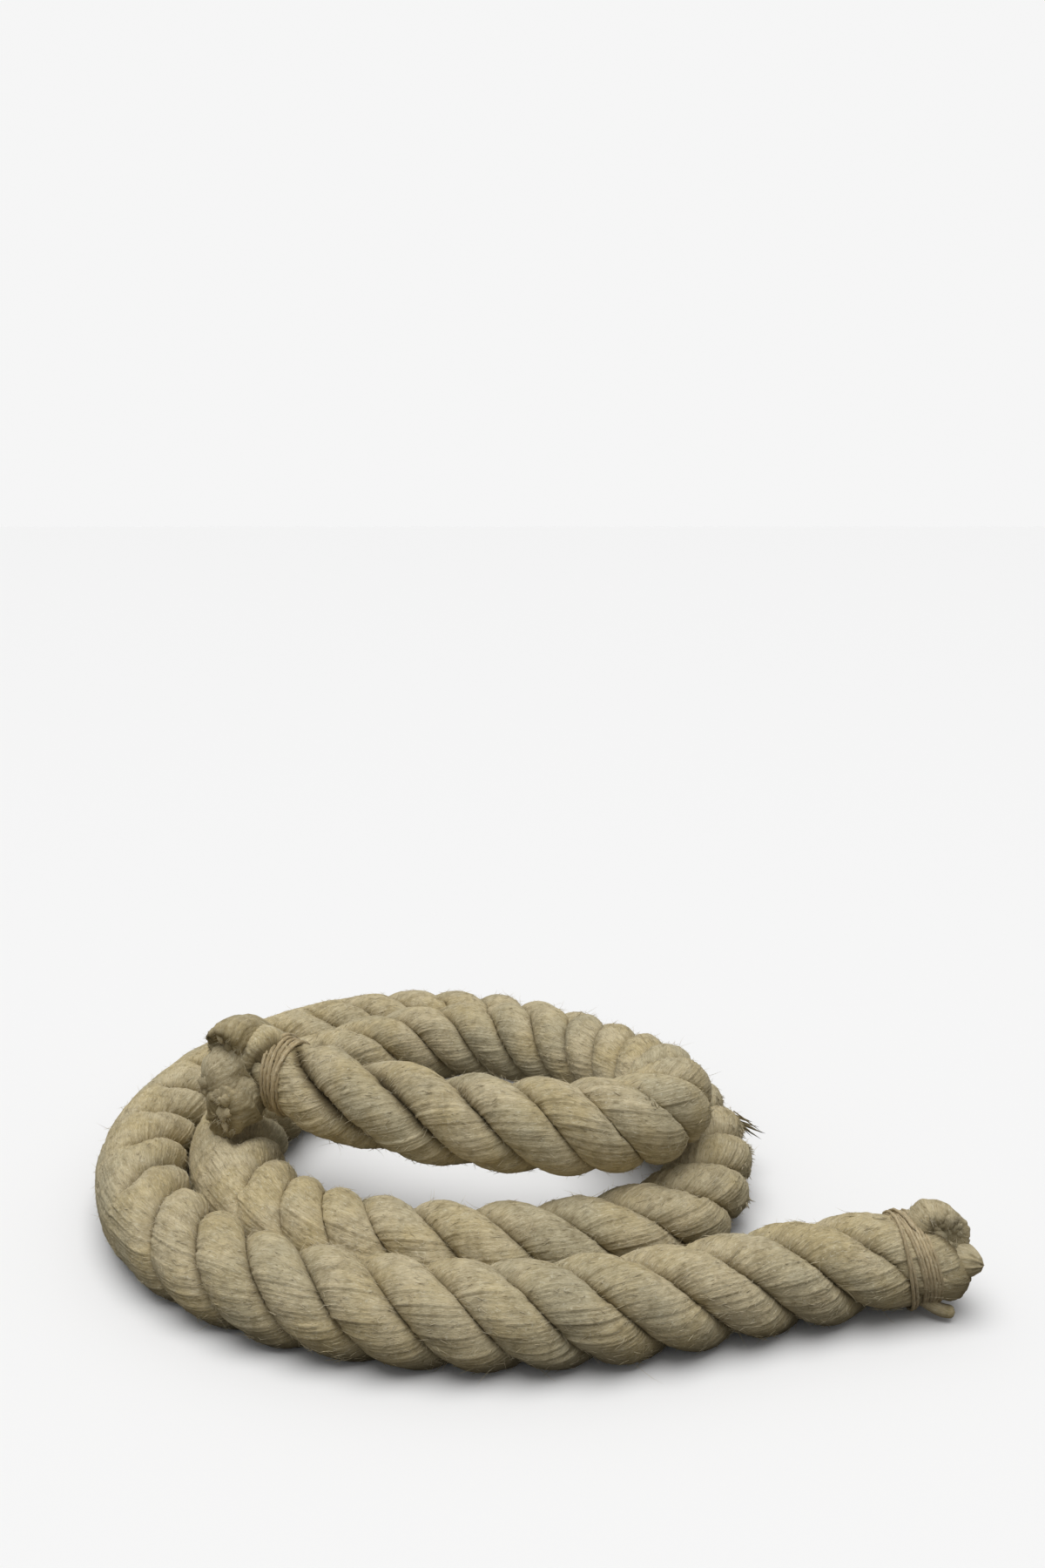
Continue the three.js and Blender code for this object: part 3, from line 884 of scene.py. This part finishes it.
cut_roots = np.repeat(np.vstack(cut_places), CUT_HAIRS, axis=0)
cut_facing = unit(np.repeat(np.vstack(cut_faces), CUT_HAIRS, axis=0).astype(float))
count = len(cut_roots)
cut_hairs = hairs(
    "cut_fibres",
    roots=cut_roots - 0.0008 * cut_facing,
    leave=unit(cut_facing + 0.75 * rng.normal(size=(count, 3))),
    lift=0.2 * cut_facing,
    lengths=0.0016 + rng.gamma(1.5, 0.0007, count).clip(0, 0.004),
    thick=rng.uniform(0.00006, 0.00014, count),
    curl=np.abs(rng.normal(0, 0.35, count)), rng=rng, dark=0.08)

# the bark fibres that hang out of the outer turn
SNAG_ROOT = np.array((0.1035, 0.010, 0.026))
SNAG_TIP = np.array((0.1165, 0.008, 0.019))
BARK_FIBRES = 12
snag_lead = (SNAG_TIP - SNAG_ROOT) + rng.normal(0, 0.0010, (BARK_FIBRES, 3))
snag = hairs(
    "bark_fibres",
    roots=SNAG_ROOT + rng.normal(0, 0.0012, (BARK_FIBRES, 3)),
    leave=unit(snag_lead),
    lift=0 * snag_lead,
    lengths=rng.uniform(0.009, 0.017, BARK_FIBRES),
    thick=rng.uniform(0.0003, 0.0006, BARK_FIBRES),
    curl=np.abs(rng.normal(0, 0.12, BARK_FIBRES)), rng=rng, dark=0.9)

# the tufts of broken yarns, which point back along the rope: from where to where along it, and how
# many are tried, of which the ones on the rubbed side stay
RUBBED = [(0.165, 0.245, 60), (0.78, 0.98, 300)]
RUBBED_SIDE = np.array((0.95, 0.0, -0.30))  # the way that the rubbed side faces
RUBBED_LEAST = 0.50  # how squarely a tuft has to face that way
TUFT_YARNS = 7
BROKEN_ROOT = -0.0002  # height of their roots over the strand's own form
tuft_x = np.concatenate([rng.uniform(start, finish, tufts) for start, finish, tufts in RUBBED])
tuft_strand = rng.integers(0, STRANDS, len(tuft_x))
tuft_around = rng.uniform(-1.4, 1.4, len(tuft_x))
tuft_out = unit(strand_point(tuft_strand, tuft_x, tuft_around, 0.001)
                - strand_point(tuft_strand, tuft_x, tuft_around, 0.0))
rubbed = tuft_out @ RUBBED_SIDE > RUBBED_LEAST
tuft_x, tuft_strand, tuft_around = tuft_x[rubbed], tuft_strand[rubbed], tuft_around[rubbed]
broken_x = np.repeat(tuft_x, TUFT_YARNS) + rng.normal(0, 0.0007, len(tuft_x) * TUFT_YARNS)
broken_around = np.repeat(tuft_around, TUFT_YARNS) + rng.normal(0, 0.08, len(broken_x))
broken_strand = np.repeat(tuft_strand, TUFT_YARNS)
broken_root = strand_point(broken_strand, broken_x, broken_around, BROKEN_ROOT)
broken_out = unit(strand_point(broken_strand, broken_x, broken_around, 0.001) - broken_root)
further_back = strand_point(
    broken_strand, broken_x - 0.001, broken_around + 0.001 * YARN_TWIST, BROKEN_ROOT)
broken_back = unit(further_back - broken_root)
broken = hairs(
    "broken_yarns",
    roots=broken_root,
    leave=unit(broken_back + 0.35 * broken_out),
    lift=0.25 * broken_out,
    lengths=rng.uniform(0.0020, 0.0046, len(broken_x)),
    thick=rng.uniform(0.00014, 0.00034, len(broken_x)),
    curl=np.abs(rng.normal(0, 0.25, len(broken_x))), rng=rng, dark=0.15)


# ---- Studio ----------------------------------------
# A plain pale floor under one wide soft light from overhead, and a pale sky that gives less light
# near the horizon. The floor throws little light back up, so that the rope's underside stays dark.
FLOOR_SEEN = (0.88, 0.88, 0.88, 1)
FLOOR_THROWS_BACK = (0.15, 0.14, 0.12, 1)
SKY_SEEN = 0.92
SKY_AT_HORIZON = 0.18
SKY_OVERHEAD = 0.55

floor_sheet = bmesh.new()
bmesh.ops.create_grid(floor_sheet, x_segments=1, y_segments=1, size=6)
floor_mesh = bpy.data.meshes.new("floor")
floor_sheet.to_mesh(floor_mesh)
floor_sheet.free()
floor = bpy.data.objects.new("floor", floor_mesh)
scene.collection.objects.link(floor)
floor_nodes = Nodes("floor")
floor_seen = floor_nodes.add("ShaderNodeLightPath").outputs["Is Camera Ray"]
floor_colour = floor_nodes.mix(floor_seen, FLOOR_THROWS_BACK, FLOOR_SEEN)
floor_nodes.tree.links.new(floor_colour, floor_nodes.shader.inputs["Base Color"])
floor_nodes.shader.inputs["Roughness"].default_value = 0.9
floor_mesh.materials.append(floor_nodes.material)

overhead_data = bpy.data.lights.new("soft_overhead", "SUN")
overhead_data.energy = 2.0
overhead_data.angle = math.radians(56)
overhead = bpy.data.objects.new("soft_overhead", overhead_data)
overhead.rotation_euler = (math.radians(6), math.radians(-4), 0)
scene.collection.objects.link(overhead)

world = bpy.data.worlds.new("studio")
world.use_nodes = True
sky = world.node_tree
background = sky.nodes["Background"]
background.inputs["Color"].default_value = (1, 1, 1, 1)
way = sky.nodes.new("ShaderNodeTexCoord")
height = sky.nodes.new("ShaderNodeSeparateXYZ")
sky.links.new(way.outputs["Generated"], height.inputs["Vector"])
given = sky.nodes.new("ShaderNodeMapRange")
given.inputs["To Min"].default_value = SKY_AT_HORIZON
given.inputs["To Max"].default_value = SKY_OVERHEAD
sky.links.new(height.outputs["Z"], given.inputs["Value"])
seen = sky.nodes.new("ShaderNodeLightPath")
strength = sky.nodes.new("ShaderNodeMapRange")
strength.inputs["To Max"].default_value = SKY_SEEN
sky.links.new(given.outputs["Result"], strength.inputs["To Min"])
sky.links.new(seen.outputs["Is Camera Ray"], strength.inputs["Value"])
sky.links.new(strength.outputs["Result"], background.inputs["Strength"])
scene.world = world
scene.view_settings.view_transform = "Standard"
